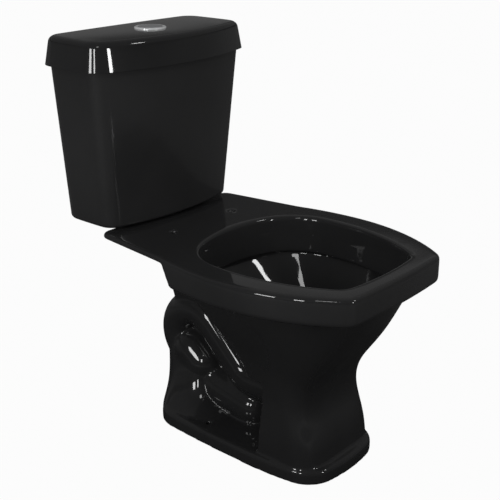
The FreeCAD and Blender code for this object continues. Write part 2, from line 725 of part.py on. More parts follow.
def tank():
    """Open cistern with holes in its floor for the valves and the two bolts."""
    top = TANK_FLOOR_Z + TANK_HEIGHT
    body = tank_block(TANK_FLOOR_Z, top)
    body = body.makeFillet(TANK_LOW_ROUND, level_edges(body, TANK_FLOOR_Z))
    floor = TANK_FLOOR_Z + TANK_FLOOR
    inside = tank_block(floor, top + 1, -TANK_WALL)
    inside = inside.makeFillet(TANK_LOW_ROUND, level_edges(inside, floor))
    body = body.cut(inside)
    low = TANK_FLOOR_Z - 1
    holes = [rod(SPIGOT_R + SPIGOT_FIT, VALVE_X, VALVE_Y, low, floor + 1),
             rod(FILL_SHANK_R + FILL_HOLE_FIT, FILL_X, fill_y(), low, floor + 1)]
    for side in (-1, 1):
        holes.append(rod(BOLT_R + BOLT_HOLE_FIT, side * BOLT_SPACING / 2, BOLT_Y, low, floor + 1))
    for hole in holes:
        body = body.cut(hole)
    return only_solid(body)


def lid_outline(z, grow):
    share = (LID_BOTTOM_Z - TANK_FLOOR_Z) / TANK_HEIGHT
    half = TANK_HALF + (TANK_TOP_HALF - TANK_HALF) * share
    front = TANK_FRONT + (TANK_TOP_FRONT - TANK_FRONT) * share
    back = TANK_BACK + (TANK_TOP_BACK - TANK_BACK) * share
    return arc_outline(tank_sides(half, front, back), z, grow)


def tank_lid():
    """Hollow lid whose skirt fits round the top of the tank; a ledge inside rests on the rim."""
    top = LID_BOTTOM_Z + LID_HEIGHT
    body = Part.makeLoft([lid_outline(LID_BOTTOM_Z, LID_OVERHANG),
                          lid_outline(top, LID_OVERHANG - LID_LEAN)], True, True)
    body = body.makeFillet(LID_ROUND, level_edges(body, top))
    tank_top = TANK_FLOOR_Z + TANK_HEIGHT
    skirt = tank_block(LID_BOTTOM_Z - 1, tank_top, LID_FIT)
    inside = slab(lid_outline(tank_top - 1, -TANK_WALL), top - LID_WALL - tank_top + 1)
    body = body.cut(skirt).cut(inside)
    hole = rod(BEZEL_SHANK_R + LID_HOLE_FIT, VALVE_X, VALVE_Y, LID_BOTTOM_Z, top + 1)
    return only_solid(body.cut(hole))


# ---------------------------------------------------------------- push buttons
def lid_top():
    return LID_BOTTOM_Z + LID_HEIGHT


def button_bezel():
    """Chromed ring with a shank through the lid; its floor guides the button stems."""
    top = lid_top() + BEZEL_THICK
    rim = rod(BEZEL_R, VALVE_X, VALVE_Y, lid_top(), top)
    rim = rim.makeFillet(BEZEL_THICK * 0.6, level_edges(rim, top))
    low = lid_top() - BEZEL_SHANK
    body = rim.fuse(rod(BEZEL_SHANK_R, VALVE_X, VALVE_Y, low, lid_top()))
    body = body.cut(rod(BEZEL_BORE, VALVE_X, VALVE_Y, low + BEZEL_FLOOR, top + 1))
    for x in (VALVE_X - STEM_AT, VALVE_X + STEM_AT):
        body = body.cut(rod(STEM_R + STEM_FIT, x, VALVE_Y, low - 1, top))
    return only_solid(body)


def button_nut():
    """Plastic nut under the lid that clamps the bezel."""
    high = lid_top() - LID_WALL
    low = high - BUTTON_NUT_THICK
    nut = ring(BUTTON_NUT_R, BEZEL_SHANK_R + THREAD_FIT, VALVE_X, VALVE_Y, low, high)
    count = 8
    for i in range(count):
        turn = 2 * math.pi * i / count
        x = VALVE_X + BUTTON_NUT_R * math.cos(turn)
        y = VALVE_Y + BUTTON_NUT_R * math.sin(turn)
        nut = nut.cut(rod(BUTTON_NUT_THICK * 0.35, x, y, low - 1, high + 1))
    return only_solid(nut)


def rod_top():
    """Height of the push rods' pads."""
    return TANK_FLOOR_Z + YOKE_TOP + BUTTON_TRAVEL + PAD_THICK + TOUCH


def push_button(side):
    """One part of the split button: cap, finger dish and stem down to the push rod."""
    top = lid_top() + BEZEL_THICK + BUTTON_PROUD
    low = top - BUTTON_THICK
    cap = rod(BEZEL_BORE - BUTTON_FIT, VALVE_X, VALVE_Y, low, top)
    split = VALVE_X - BUTTON_SPLIT + side * BUTTON_FIT / 2
    away = box(split - SAW, split, -SAW, SAW, low - 1, top + 1)
    if side < 0:
        away = box(split, split + SAW, -SAW, SAW, low - 1, top + 1)
    cap = cap.cut(away)
    cap = cap.makeFillet(BUTTON_EDGE, level_edges(cap, top))
    stem_x = VALVE_X + side * STEM_AT
    stem = rod(STEM_R, stem_x, VALVE_Y, rod_top() + TOUCH, low + 1)
    return joined(cap, stem)


def button_spring(side):
    """Coil spring round a stem, between the bezel's floor and the cap."""
    low = lid_top() - BEZEL_SHANK + BEZEL_FLOOR
    high = lid_top() + BEZEL_THICK + BUTTON_PROUD - BUTTON_THICK
    height = high - low - 2 * SPRING_WIRE_R
    helix = Part.makeHelix(height / SPRING_TURNS, height, SPRING_R - SPRING_WIRE_R)
    start = helix.Vertexes[0].Point
    arcs = [Part.makeCircle(SPRING_WIRE_R, start, v(0, 1, 0), turn, turn + 60)
            for turn in (0, 60, 120, 180, 240, 300)]
    coil = Part.Wire(helix).makePipeShell([Part.Wire(arcs)], True, False)
    coil.translate(v(VALVE_X + side * STEM_AT, VALVE_Y, low + SPRING_WIRE_R))
    return only_solid(coil)


# ---------------------------------------------------------------- flush valve
def inner_floor():
    return TANK_FLOOR_Z + TANK_FLOOR


def flange_top():
    return inner_floor() + WASHER_THICK + FLANGE_THICK


def seat_z():
    return flange_top() + SEAT_RING_HEIGHT


def deck_z():
    """Top of the plate that the cage posts carry."""
    return TANK_FLOOR_Z + CAGE_RING_Z


def flush_valve_body():
    """Spigot through the tank floor, sealing flange, seat ring, cage posts and top plate."""
    x, y = VALVE_X, VALVE_Y
    low = TANK_FLOOR_Z - SPIGOT_DROP
    flange_low = inner_floor() + WASHER_THICK
    body = rod(SPIGOT_R, x, y, low, flange_low)
    body = body.fuse(rod(FLANGE_R, x, y, flange_low, flange_top()))
    body = body.fuse(rod(SEAT_RING_R + SEAT_RING_WALL / 2, x, y, flange_top(), seat_z()))
    body = body.cut(rod(SPIGOT_BORE, x, y, low - 1, seat_z() + 1))
    count = 4
    for i in range(count):
        turn = 2 * math.pi * (i + 0.5) / count
        px = x + CAGE_POST_AT * math.cos(turn)
        py = y + CAGE_POST_AT * math.sin(turn)
        body = body.fuse(rod(CAGE_POST_R, px, py, flange_top() - 1, deck_z()))
    plate = ring(CAGE_RING_OUTER, CAGE_RING_INNER, x, y, deck_z() - CAGE_RING_THICK, deck_z())
    return joined(body, plate)


def flush_valve_washer():
    return ring(FLANGE_R - 2, SPIGOT_R + THREAD_FIT, VALVE_X, VALVE_Y, inner_floor(),
                inner_floor() + WASHER_THICK)


def flush_valve_locknut():
    """Nut that clamps the valve to the tank floor from below."""
    low = TANK_FLOOR_Z - LOCKNUT_THICK
    nut = ring(LOCKNUT_R, SPIGOT_R + THREAD_FIT, VALVE_X, VALVE_Y, low, TANK_FLOOR_Z)
    return nut


def spud_gasket():
    """Soft cup between tank and bowl: it wraps the locknut and sits in the deck's pocket."""
    low = RIM_TOP - SPUD_DEPTH
    cup = ring(SPUD_R, SPIGOT_R + SPUD_FIT, VALVE_X, VALVE_Y, low, TANK_FLOOR_Z)
    room = rod(LOCKNUT_R + SPUD_FIT, VALVE_X, VALVE_Y, TANK_FLOOR_Z - LOCKNUT_THICK,
               TANK_FLOOR_Z + 1)
    return only_solid(cup.cut(room))


def pivot_z():
    return TANK_FLOOR_Z + PIVOT_Z


def collar_z():
    """Underside of the collars that the lever tips lift."""
    return pivot_z() + LEVER_THICK / 2 + TOUCH


def half_collar(side):
    """Half round flange on one side of the valve's axis, narrow enough for the yoke."""
    disc = rod(COLLAR_R, VALVE_X, VALVE_Y, collar_z(), collar_z() + COLLAR_THICK)
    near, far = sorted((VALVE_X + side * COLLAR_SPLIT, VALVE_X + side * SAW))
    return disc.common(box(near, far, VALVE_Y - COLLAR_HALF, VALVE_Y + COLLAR_HALF, 0, SAW))


def overflow_tube():
    """Sliding standpipe: its foot holds the seal and its collar is lifted by the full lever."""
    low = seat_z() + SEAL_THICK
    body = rod(TUBE_R, VALVE_X, VALVE_Y, low, TANK_FLOOR_Z + TUBE_TOP)
    body = body.fuse(rod(TUBE_FOOT_R, VALVE_X, VALVE_Y, low, low + TUBE_FOOT_THICK))
    body = body.fuse(half_collar(1))
    bore = rod(TUBE_BORE, VALVE_X, VALVE_Y, low - 1, TANK_FLOOR_Z + TUBE_TOP + 1)
    return only_solid(body.cut(bore))


def flush_seal():
    return ring(SEAL_R, TUBE_BORE, VALVE_X, VALVE_Y, seat_z(), seat_z() + SEAL_THICK)


def half_flush_float():
    """Float round the standpipe, with a neck and a collar that the half lever lifts."""
    low = TANK_FLOOR_Z + HALF_FLOAT_LOW
    top = low + HALF_FLOAT_HEIGHT
    body = rod(HALF_FLOAT_R, VALVE_X, VALVE_Y, low, top)
    body = body.makeFillet(HALF_FLOAT_ROUND, level_edges(body, top))
    neck_top = collar_z() - FLUSH_LIFT - 1
    body = body.fuse(rod(NECK_R, VALVE_X, VALVE_Y, top - 1, neck_top))
    riser = rod(NECK_R, VALVE_X, VALVE_Y, neck_top - 1, collar_z() + COLLAR_THICK)
    body = body.fuse(riser.common(box(VALVE_X - SAW, VALVE_X - COLLAR_SPLIT, -SAW, SAW, 0, SAW)))
    body = body.fuse(half_collar(-1))
    bore = rod(TUBE_R + FLOAT_FIT, VALVE_X, VALVE_Y, low - 1, collar_z() + COLLAR_THICK + 1)
    return only_solid(body.cut(bore))


def valve_yoke():
    """Two cheeks on the cage plate for the lever pins, and a bridge that guides the push rods."""
    top = TANK_FLOOR_Z + YOKE_TOP
    outer = YOKE_INNER + YOKE_CHEEK
    body = box(VALVE_X - YOKE_HALF, VALVE_X + YOKE_HALF, VALVE_Y - outer, VALVE_Y + outer,
               top - YOKE_BRIDGE, top)
    for side in (-1, 1):
        low, high = sorted((VALVE_Y + side * YOKE_INNER, VALVE_Y + side * outer))
        cheek = box(VALVE_X - YOKE_HALF, VALVE_X + YOKE_HALF, low, high, deck_z(), top)
        window = box(VALVE_X - YOKE_WINDOW, VALVE_X + YOKE_WINDOW, low - 1, high + 1,
                     collar_z() + LEVER_TIP_AT, top - 2 * YOKE_BRIDGE)
        body = body.fuse(cheek.cut(window))
    for side in (-1, 1):
        body = body.cut(rod(ROD_R + STEM_FIT, VALVE_X + side * ROD_AT, VALVE_Y, deck_z(), top + 1))
        body = body.cut(cross_rod(PIN_R, VALVE_X + side * PIVOT_AT, pivot_z(), 0, SAW))
    return only_solid(body.removeSplitter())


def lever_pin(side):
    outer = YOKE_INNER + YOKE_CHEEK
    return cross_rod(PIN_R, VALVE_X + side * PIVOT_AT, pivot_z(), VALVE_Y - outer,
                     VALVE_Y + outer)


def lift_lever(side):
    """Rocker: a push rod presses its outer end and the fork at its inner end lifts a collar."""
    z = pivot_z()
    half = LEVER_THICK / 2
    pivot_x = VALVE_X + PIVOT_AT
    boss_half = YOKE_INNER - ARM_PLAY
    boss = cross_rod(PIN_R + LEVER_THICK / 2, pivot_x, z, VALVE_Y - boss_half, VALVE_Y + boss_half)
    outer_bar = box(pivot_x, VALVE_X + ROD_AT, VALVE_Y - ROD_R, VALVE_Y + ROD_R, z - half, z + half)
    outer_end = cross_rod(half, VALVE_X + ROD_AT, z, VALVE_Y - ROD_R, VALVE_Y + ROD_R)
    body = joined(boss, outer_bar, outer_end)
    for side_y in (-1, 1):
        low, high = sorted((VALVE_Y + side_y * LEVER_HALF,
                            VALVE_Y + side_y * (LEVER_HALF - LEVER_PRONG)))
        prong = box(VALVE_X + LEVER_TIP_AT, pivot_x, low, high, z - half, z + half)
        tip = cross_rod(half, VALVE_X + LEVER_TIP_AT, z, low, high)
        body = joined(body, prong, tip)
    body = only_solid(body.cut(cross_rod(PIN_R + PIN_FIT, pivot_x, z, 0, SAW)))
    return body if side > 0 else mirrored(body)


def push_rod(side):
    """Plunger: a pad under the button's stem and a leg down to the lever's outer end."""
    low = pivot_z() + LEVER_THICK / 2 + TOUCH
    shoulder = low + 2 * ROD_R
    top = rod_top()
    leg_x = VALVE_X + ROD_AT
    tip = Part.makeCone(ROD_TIP_R, ROD_R, shoulder - low, v(leg_x, VALVE_Y, low))
    leg = rod(ROD_R, leg_x, VALVE_Y, shoulder, top - PAD_THICK + 1)
    pad = box(VALVE_X + COLLAR_SPLIT * 2, leg_x + ROD_R, VALVE_Y - PAD_HALF, VALVE_Y + PAD_HALF,
              top - PAD_THICK, top)
    corners = [(VALVE_X + COLLAR_SPLIT * 2, VALVE_Y + turn * PAD_HALF) for turn in (-1, 1)]
    corners += [(leg_x + ROD_R, VALVE_Y + turn * PAD_HALF) for turn in (-1, 1)]
    pad = pad.makeFillet(ROD_R, vertical_edges(pad, corners, 1))
    body = joined(tip, leg, pad)
    return body if side > 0 else mirrored(body)


# ---------------------------------------------------------------- fill valve
def fill_y():
    return VALVE_Y + CLIP_Y


def head_low():
    return TANK_FLOOR_Z + FILL_HEAD_Z


def cap_top():
    return head_low() + FILL_HEAD_HEIGHT + FILL_CAP_HEIGHT


def arm_pivot():
    return FILL_X + ARM_PIVOT_AT, cap_top() + ARM_RISE


def fill_valve_body():
    """Threaded shank, flange, riser with a float stop, and the head with its refill nipple."""
    x, y = FILL_X, fill_y()
    flange_low = inner_floor() + WASHER_THICK
    flange_high = flange_low + FILL_FLANGE_THICK
    body = rod(FILL_SHANK_R, x, y, TANK_FLOOR_Z - FILL_SHANK_DROP, flange_low)
    stop_top = TANK_FLOOR_Z + CUP_LOW - TOUCH
    pieces = [rod(FILL_FLANGE_R, x, y, flange_low, flange_high),
              rod(FILL_STEM_R, x, y, flange_high, head_low()),
              rod(FILL_STOP_R, x, y, stop_top - FILL_STOP_THICK, stop_top),
              rod(FILL_HEAD_R, x, y, head_low(), head_low() + FILL_HEAD_HEIGHT)]
    for piece in pieces:
        body = body.fuse(piece)
    nipple_x = FILL_X - FILL_HEAD_R - NIPPLE_LENGTH
    body = body.fuse(Part.makeCylinder(NIPPLE_R, NIPPLE_LENGTH + 2,
                                       v(nipple_x, y, TANK_FLOOR_Z + CLIP_Z), v(1, 0, 0)))
    bore = rod(FILL_SHANK_BORE, x, y, TANK_FLOOR_Z - FILL_SHANK_DROP - 1, head_low())
    relief_top = TANK_FLOOR_Z - FILL_NUT_THICK - 1
    relief = ring(FILL_SHANK_R + 1, FILL_RELIEF_R, x, y, relief_top - FILL_RELIEF_LONG,
                  relief_top)
    return only_solid(body.cut(bore).cut(relief))


def fill_valve_washer():
    return ring(FILL_FLANGE_R, FILL_SHANK_R + THREAD_FIT, FILL_X, fill_y(), inner_floor(),
                inner_floor() + WASHER_THICK)


def hex_nut(across, bore, x, y, low, high):
    corner = across / math.sqrt(3)
    points = [v(x + corner * math.cos(math.radians(60 * i)), y + corner *
                math.sin(math.radians(60 * i)), low) for i in range(6)]
    nut = Part.Face(Part.makePolygon(points + points[:1])).extrude(v(0, 0, high - low))
    return only_solid(nut.cut(rod(bore, x, y, low - 1, high + 1)))


def fill_valve_locknut():
    low = TANK_FLOOR_Z - FILL_NUT_THICK
    return hex_nut(2 * FILL_NUT_R, FILL_SHANK_R + THREAD_FIT, FILL_X, fill_y(), low, TANK_FLOOR_Z)


def fill_valve_cap():
    """Cap over the diaphragm with two ears for the float lever's pin."""
    x, y = FILL_X, fill_y()
    low = head_low() + FILL_HEAD_HEIGHT
    pivot_x, z = arm_pivot()
    body = rod(FILL_HEAD_R, x, y, low, cap_top())
    body = body.makeFillet(2.0, level_edges(body, cap_top()))
    for side in (-1, 1):
        near = y + side * (ARM_HALF + ARM_PLAY)
        lo, hi = sorted((near, near + side * ARM_EAR))
        ear = box(pivot_x - ARM_RISE, pivot_x + ARM_RISE, lo, hi, cap_top() - 1, z)
        ear = ear.fuse(cross_rod(ARM_RISE, pivot_x, z, lo, hi))
        body = body.fuse(ear)
    return only_solid(body.cut(cross_rod(PIN_R, pivot_x, z, 0, SAW)))


def float_lever_pin():
    pivot_x, z = arm_pivot()
    reach = ARM_HALF + ARM_PLAY + ARM_EAR
    return cross_rod(PIN_R, pivot_x, z, fill_y() - reach, fill_y() + reach)


def float_lever():
    """Lever on the cap that the float's rod pushes up."""
    pivot_x, z = arm_pivot()
    y = fill_y()
    tip_x = FILL_X + CUP_ROD_AT + ARM_HALF
    boss = cross_rod(PIN_R + ARM_THICK / 2, pivot_x, z, y - ARM_HALF, y + ARM_HALF)
    bar = box(pivot_x, tip_x, y - ARM_HALF, y + ARM_HALF, z - ARM_THICK / 2, z + ARM_THICK / 2)
    body = joined(boss, bar)
    return only_solid(body.cut(cross_rod(PIN_R + PIN_FIT, pivot_x, z, 0, SAW)))


def float_cup():
    """Inverted cup round the riser: a closed top and two walls."""
    x, y = FILL_X, fill_y()
    low = TANK_FLOOR_Z + CUP_LOW
    top = low + CUP_HEIGHT
    body = rod(CUP_R, x, y, low, top)
    body = body.makeFillet(CUP_WALL, level_edges(body, top))
    inner = FILL_STEM_R + CUP_FIT
    body = body.cut(rod(inner, x, y, low - 1, top + 1))
    return only_solid(body.cut(ring(CUP_R - CUP_WALL, inner + CUP_WALL, x, y, low - 1,
                                    top - CUP_WALL)))


def float_rod():
    low = TANK_FLOOR_Z + CUP_LOW + CUP_HEIGHT
    high = arm_pivot()[1] - ARM_THICK / 2 - TOUCH
    return rod(CUP_ROD_R, FILL_X + CUP_ROD_AT, fill_y(), low, high)


def refill_clip():
    """Spout that hangs from the yoke's bridge and pours into the standpipe."""
    z = TANK_FLOOR_Z + CLIP_Z
    y = fill_y()
    start = VALVE_X + CLIP_OUTLET_X
    bar = Part.makeCylinder(NIPPLE_R, CLIP_END_X - CLIP_OUTLET_X, v(start, y, z), v(1, 0, 0))
    outlet = rod(NIPPLE_R, start, y, z - CLIP_DROP, z)
    elbow = Part.makeSphere(NIPPLE_R, v(start, y, z))
    hanger = box(start + CLIP_HALF, start + 3 * CLIP_HALF, y - NIPPLE_R, y + NIPPLE_R, z,
                 TANK_FLOOR_Z + YOKE_TOP - YOKE_BRIDGE)
    return joined(bar, outlet, elbow, hanger)


def refill_hose():
    """Short straight hose pushed over the valve's nipple and the spout."""
    start = VALVE_X + CLIP_END_X - CLIP_HALF
    end = FILL_X - FILL_HEAD_R
    place = v(start, fill_y(), TANK_FLOOR_Z + CLIP_Z)
    outside = Part.makeCylinder(HOSE_BORE + HOSE_WALL, end - start, place, v(1, 0, 0))
    inside = Part.makeCylinder(HOSE_BORE, end - start, place, v(1, 0, 0))
    return only_solid(outside.cut(inside))


# ---------------------------------------------------------------- fasteners, one pair each
def pair(make):
    """The same piece on both bolts, as separate solids."""
    return Part.makeCompound([make(side * BOLT_SPACING / 2) for side in (-1, 1)])


def under_deck():
    return RIM_TOP - DECK_THICK


def tank_bolt(x):
    head_low_z = inner_floor() + WASHER_THICK
    head = rod(BOLT_HEAD_R, x, BOLT_Y, head_low_z, head_low_z + BOLT_HEAD_THICK)
    head = head.makeFillet(1.5, level_edges(head, head_low_z + BOLT_HEAD_THICK))
    low = under_deck() - BOLT_WASHER_THICK - BOLT_NUT_THICK - BOLT_TAIL
    return joined(head, rod(BOLT_R, x, BOLT_Y, low, head_low_z))


def bolt_seal(x):
    return ring(BOLT_SEAL_R, BOLT_R + THREAD_FIT, x, BOLT_Y, inner_floor(),
                inner_floor() + WASHER_THICK)


def bolt_spacer(x):
    return ring(BOLT_SEAL_R, BOLT_R + THREAD_FIT, x, BOLT_Y, RIM_TOP, TANK_FLOOR_Z)


def bolt_washer(x):
    return ring(BOLT_WASHER_R, BOLT_R + THREAD_FIT, x, BOLT_Y, under_deck() - BOLT_WASHER_THICK,
                under_deck())


def bolt_nut(x):
    high = under_deck() - BOLT_WASHER_THICK
    return hex_nut(BOLT_NUT_ACROSS, BOLT_R + THREAD_FIT, x, BOLT_Y, high - BOLT_NUT_THICK, high)


def pieces():
    """Every piece of the toilet by name."""
    return {
        "bowl": bowl(),
        "tank": tank(),
        "tank_lid": tank_lid(),
        "button_bezel": button_bezel(),
        "button_locknut": button_nut(),
        "full_flush_button": push_button(1),
        "half_flush_button": push_button(-1),
        "full_button_spring": button_spring(1),
        "half_button_spring": button_spring(-1),
        "flush_valve_body": flush_valve_body(),
        "flush_valve_washer": flush_valve_washer(),
        "flush_valve_locknut": flush_valve_locknut(),
        "spud_gasket": spud_gasket(),
        "overflow_tube": overflow_tube(),
        "flush_seal": flush_seal(),
        "half_flush_float": half_flush_float(),
        "valve_yoke": valve_yoke(),
        "full_lever_pin": lever_pin(1),
        "half_lever_pin": lever_pin(-1),
        "full_lift_lever": lift_lever(1),
        "half_lift_lever": lift_lever(-1),
        "full_push_rod": push_rod(1),
        "half_push_rod": push_rod(-1),
        "fill_valve_body": fill_valve_body(),
        "fill_valve_washer": fill_valve_washer(),
        "fill_valve_locknut": fill_valve_locknut(),
        "fill_valve_cap": fill_valve_cap(),
        "float_lever_pin": float_lever_pin(),
        "float_lever": float_lever(),
        "float_cup": float_cup(),
        "float_rod": float_rod(),
        "refill_clip": refill_clip(),
        "refill_hose": refill_hose(),
        "tank_bolts": pair(tank_bolt),
        "tank_bolt_seals": pair(bolt_seal),
        "tank_bolt_spacers": pair(bolt_spacer),
        "tank_bolt_washers": pair(bolt_washer),
        "tank_bolt_nuts": pair(bolt_nut),
    }


os.makedirs("parts", exist_ok=True)
for name, shape in pieces().items():
    shape.exportStep("parts/%s.step" % name)
    print(name, shape.isValid(), len(shape.Solids), round(shape.Volume / 1000, 2))
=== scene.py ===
"""Looks of the close coupled toilet: black glazed china, chrome push button, studio light."""
import json
import math

import bmesh
import bpy
from mathutils import Matrix, Vector


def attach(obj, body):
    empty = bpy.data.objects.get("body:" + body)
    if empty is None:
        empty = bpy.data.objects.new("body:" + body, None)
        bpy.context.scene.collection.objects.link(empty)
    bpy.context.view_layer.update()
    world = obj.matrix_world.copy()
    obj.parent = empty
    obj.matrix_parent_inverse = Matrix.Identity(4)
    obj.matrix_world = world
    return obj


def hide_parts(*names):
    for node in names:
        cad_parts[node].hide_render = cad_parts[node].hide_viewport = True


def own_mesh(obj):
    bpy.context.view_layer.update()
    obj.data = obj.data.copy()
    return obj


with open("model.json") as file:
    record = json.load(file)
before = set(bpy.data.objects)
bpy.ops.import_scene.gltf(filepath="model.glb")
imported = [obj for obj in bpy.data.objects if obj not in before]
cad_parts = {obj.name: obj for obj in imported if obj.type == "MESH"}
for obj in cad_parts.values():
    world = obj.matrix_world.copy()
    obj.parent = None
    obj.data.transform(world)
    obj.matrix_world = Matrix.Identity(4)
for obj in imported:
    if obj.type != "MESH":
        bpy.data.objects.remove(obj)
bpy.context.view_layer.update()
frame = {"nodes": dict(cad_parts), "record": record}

# Studio
SOFT_LIGHT = 0.34             # strength of the surround as light
SEEN = ((0.0, 0.15), (0.14, 0.15), (0.24, 0.045), (0.325, 0.045), (0.37, 0.20), (0.43, 0.14),
        (1.0, 0.14))          # what the glaze mirrors, by height of the mirrored direction
BRIGHT_SIDE = (0.77, 0.64, 0.0)   # direction of the studio's brighter side
DIM_SIDE = 0.4                # share of that light on the far side
FLOOR_SIZE = 60.0
FLOOR_NEAR = 0.85             # painted shade: share of the floor's light that reflections lose near the part
FLOOR_FAR = 0.05              # and far from it
FLOOR_REACH = (0.4, 1.4)      # distances from the middle between which that changes
FLOOR_WHITE = 0.97            # share of plain white in the floor that the camera sees

# Bowl's glazed copy
VOXEL = 0.0017                # grid of the copy
GLAZE_STEPS = 26              # smoothing steps that round its creases like flowing glaze
GLAZE_KEPT = 0.15             # share of the grid's triangles that are kept

# Tank's and lid's rounder corners
TANK_LOW = 0.384              # height of the tank's underside
TANK_TALL = 0.290
LID_SHARE = 0.282 / 0.290     # the lid follows the tank's outline at its lower edge
TANK_HALF = (0.156, 0.183)    # the outline's half width, front and back, at floor and top
TANK_FRONT = (0.134, 0.1135)
TANK_BACK = (0.281, 0.282)
FRONT_R = 0.520               # radii of the outline's bowed sides
SIDE_R = 0.900
BACK_R = 4.000
CORNER_R = 0.019              # radius of its upright corners, before and after
ROUNDER_R = 0.032
CORNER_FADE = 0.070           # length of side over which the change runs out
CORNER_DEPTH = (0.030, 0.019)  # depths under the skin where nothing and all of it moves
CREASE = 35                   # degrees from which an edge stays sharp


# ---------------------------------------------------------------- material helpers
def new_material(name):
    """Empty material with a Principled shader on its output."""
    material = bpy.data.materials.new(name)
    material.use_nodes = True
    nodes = material.node_tree.nodes
    nodes.clear()
    output = nodes.new("ShaderNodeOutputMaterial")
    shader = nodes.new("ShaderNodeBsdfPrincipled")
    material.node_tree.links.new(shader.outputs["BSDF"], output.inputs["Surface"])
    return material, shader


def noise(material, scale, detail=4.0, roughness=0.5):
    """Noise in object space, so that it keeps its size on every piece."""
    nodes, links = material.node_tree.nodes, material.node_tree.links
    place = nodes.new("ShaderNodeTexCoord")
    texture = nodes.new("ShaderNodeTexNoise")
    texture.inputs["Scale"].default_value = scale
    texture.inputs["Detail"].default_value = detail
    texture.inputs["Roughness"].default_value = roughness
    links.new(place.outputs["Object"], texture.inputs["Vector"])
    return texture.outputs["Fac"]


def between(material, factor, low, high, start=0.3, end=0.7):
    """Number that runs from low to high as a factor runs from start to end."""
    node = material.node_tree.nodes.new("ShaderNodeMapRange")
    node.inputs["From Min"].default_value = start
    node.inputs["From Max"].default_value = end
    node.inputs["To Min"].default_value = low
    node.inputs["To Max"].default_value = high
    material.node_tree.links.new(factor, node.inputs["Value"])
    return node.outputs["Result"]


def mixed(material, factor, first, second):
    """Colour between two, by a factor."""
    node = material.node_tree.nodes.new("ShaderNodeMix")
    node.data_type = "RGBA"
    node.inputs["A"].default_value = (*first, 1)
    node.inputs["B"].default_value = (*second, 1)
    material.node_tree.links.new(factor, node.inputs["Factor"])
    return node.outputs["Result"]


def bump(material, height, distance, strength=1.0, normal=None):
    """Normal from a height, on top of another bump where there is one."""
    node = material.node_tree.nodes.new("ShaderNodeBump")
    node.inputs["Strength"].default_value = strength
    node.inputs["Distance"].default_value = distance
    material.node_tree.links.new(height, node.inputs["Height"])
    if normal is not None:
        material.node_tree.links.new(normal, node.inputs["Normal"])
    return node.outputs["Normal"]


def glazed_china(name, dark, light, haze=0.035):
    """Black glaze: a glassy coat over a nearly black, slightly hazy body, faintly wavy."""
    material, shader = new_material(name)
    links = material.node_tree.links
    cloud = noise(material, 9.0, 3.0)
    flow = noise(material, 22.0, 2.0)
    peel = noise(material, 420.0, 2.0)
    links.new(mixed(material, between(material, cloud, 0, 1), dark, light),
              shader.inputs["Base Color"])
    links.new(between(material, peel, 0.30, 0.40), shader.inputs["Roughness"])
    shader.inputs["IOR"].default_value = 1.5
    shader.inputs["Specular IOR Level"].default_value = 0.03
    shader.inputs["Coat Weight"].default_value = 1.0
    shader.inputs["Coat IOR"].default_value = 1.52
    shader.inputs["Coat Roughness"].default_value = haze
    wavy = bump(material, flow, 0.0002, 0.3)
    skin = bump(material, peel, 0.00002, 0.3, wavy)
    links.new(skin, shader.inputs["Normal"])
    links.new(skin, shader.inputs["Coat Normal"])
    return material


def metal(name, dark, light, rough_low, rough_high, scale, depth, metallic=1.0):
    """Metal or metal plating with a fine grain."""
    material, shader = new_material(name)
    links = material.node_tree.links
    grain = noise(material, scale, 5.0)
    links.new(mixed(material, between(material, grain, 0, 1), dark, light),
              shader.inputs["Base Color"])
    links.new(between(material, grain, rough_low, rough_high), shader.inputs["Roughness"])
    shader.inputs["Metallic"].default_value = metallic
    links.new(bump(material, grain, depth, 0.4), shader.inputs["Normal"])
    return material


def moulded(name, dark, light, rough_low, rough_high, depth=0.00004, sheen=0.0):
    """Moulded plastic or rubber with a faintly grained skin and slight shade changes."""
    material, shader = new_material(name)
    links = material.node_tree.links
    shade = noise(material, 60.0, 3.0)
    grain = noise(material, 2200.0, 2.0)
    links.new(mixed(material, between(material, shade, 0, 1), dark, light),
              shader.inputs["Base Color"])
    links.new(between(material, grain, rough_low, rough_high), shader.inputs["Roughness"])
    shader.inputs["Sheen Weight"].default_value = sheen
    links.new(bump(material, grain, depth, 0.5), shader.inputs["Normal"])
    return material


MATERIALS = {
    "glazed_black_china": glazed_china("black_glaze", (0.0195, 0.0195, 0.0200),
                                       (0.0235, 0.0235, 0.0240)),
    "black_lid_china": glazed_china("black_lid_glaze", (0.0180, 0.0180, 0.0185),
                                    (0.0220, 0.0220, 0.0225)),
    # chrome plating with a painted reflection: a pale diffuse share of about a quarter brightens
    # it as a reflection would
    "button_chrome": metal("chrome_part_painted_reflection", (0.62, 0.63, 0.65), (0.78, 0.79, 0.81),
                           0.12, 0.20, 350.0, 0.00001, 0.72),
    "stainless_steel": metal("satin_steel", (0.46, 0.46, 0.47), (0.62, 0.62, 0.63),
                             0.22, 0.38, 900.0, 0.00003),
    "white_abs": moulded("white_plastic", (0.74, 0.74, 0.71), (0.82, 0.82, 0.80), 0.25, 0.40),
    "grey_abs": moulded("grey_plastic", (0.26, 0.27, 0.29), (0.34, 0.35, 0.37), 0.40, 0.60),
    "blue_abs": moulded("blue_plastic", (0.045, 0.17, 0.42), (0.07, 0.23, 0.50), 0.30, 0.45),
    "black_rubber": moulded("black_rubber_skin", (0.016, 0.016, 0.016), (0.032, 0.032, 0.032),
                            0.65, 0.85, 0.00008, 0.2),
}


# ---------------------------------------------------------------- the object
def finish_nodes():
    """Every CAD node gets the material of its slot, and the bezel's ring a chrome that is mostly
    pale diffuse paint: a painted reflection that makes it brighter than the button.
    """
    for row in frame["record"]["subparts"]:
        node = frame["nodes"][row["node"]]
        for place in node.material_slots:
            place.material = MATERIALS[row["material_slot"]]
    # painted reflection: the ring is a lighter copy of the chrome, four fifths pale diffuse
    # paint standing in for its bright reflection
    ring = metal("ring_chrome_painted_reflection", (0.82, 0.83, 0.84), (0.90, 0.91, 0.92),
                 0.12, 0.20, 350.0, 0.00001, 0.20)
    for place in frame["nodes"]["button_bezel"].material_slots:
        place.material = ring


